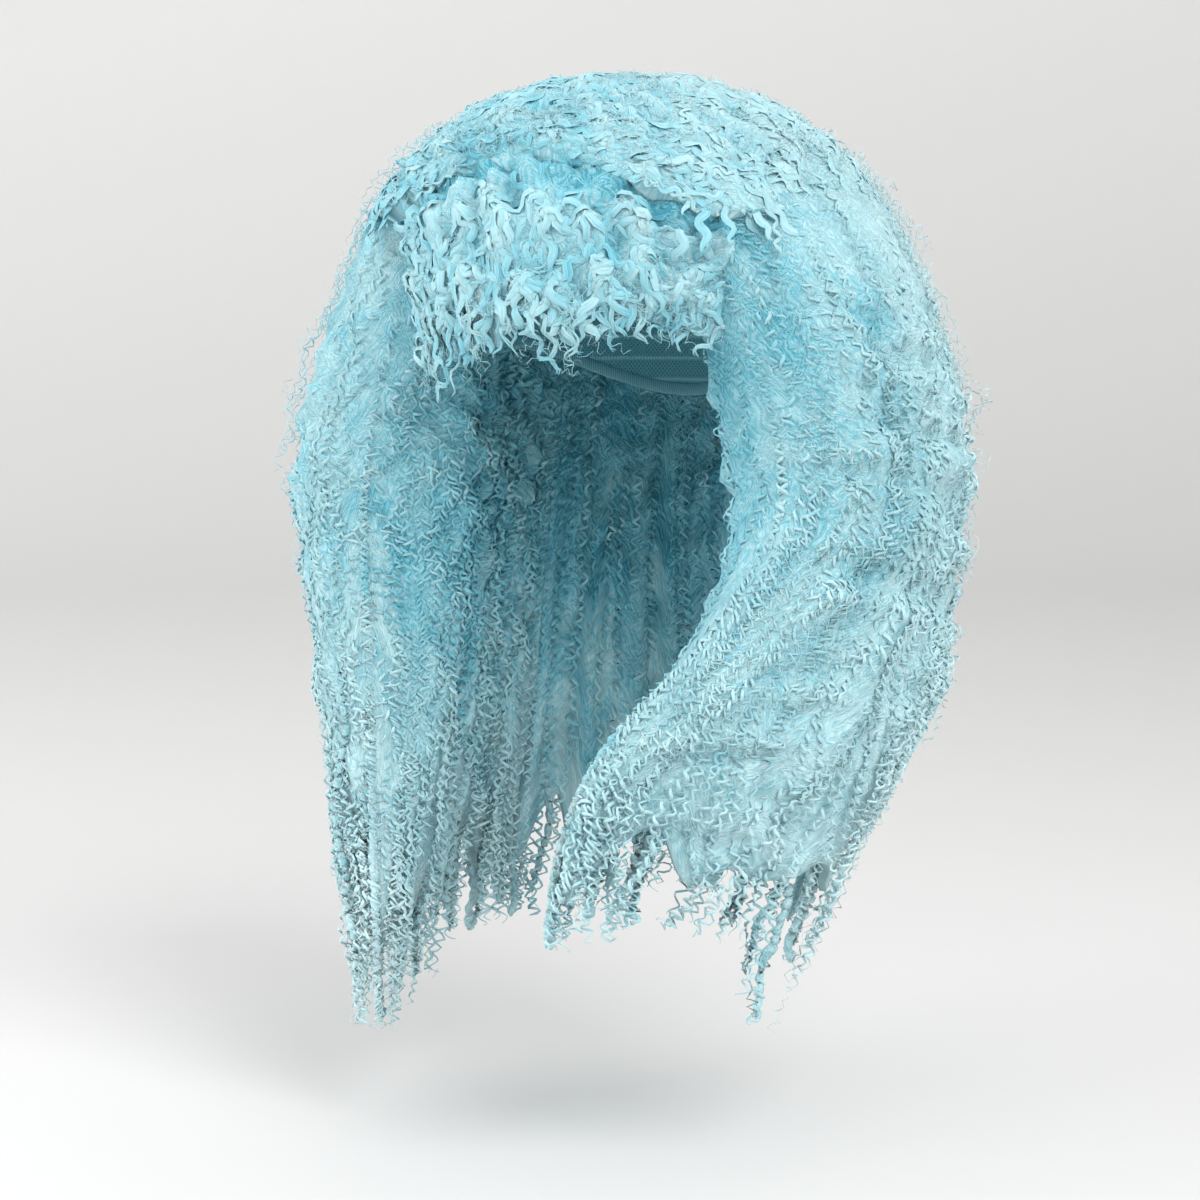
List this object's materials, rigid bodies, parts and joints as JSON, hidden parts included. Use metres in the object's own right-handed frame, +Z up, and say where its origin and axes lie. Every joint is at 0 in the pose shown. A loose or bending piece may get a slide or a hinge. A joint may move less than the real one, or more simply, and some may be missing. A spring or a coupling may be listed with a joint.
{
  "type": "long curly wig with a fringe",
  "caption": "Full, long, tightly curled wig on a net cap, with a short curly fringe and pointed locks that hang to the chest.",
  "frame": {"origin": "top of the cap's hollow, where the crown of the wearer's head bears on it", "axes": "+Z up the wearer's head, -Y the way the wearer looks, +X to the wearer's left"},
  "size_m": [0.4054, 0.3115, 0.549],
  "materials": {
    "hair": "crimped synthetic fibre, soft satin",
    "cap": "matte knitted net"
  },
  "bodies": {
    "root": {"cap": "cap", "crown": "hair", "fringe": "hair", "fall_left": "hair", "fall_back": "hair", "fall_right": "hair"}
  },
  "joints": []
}
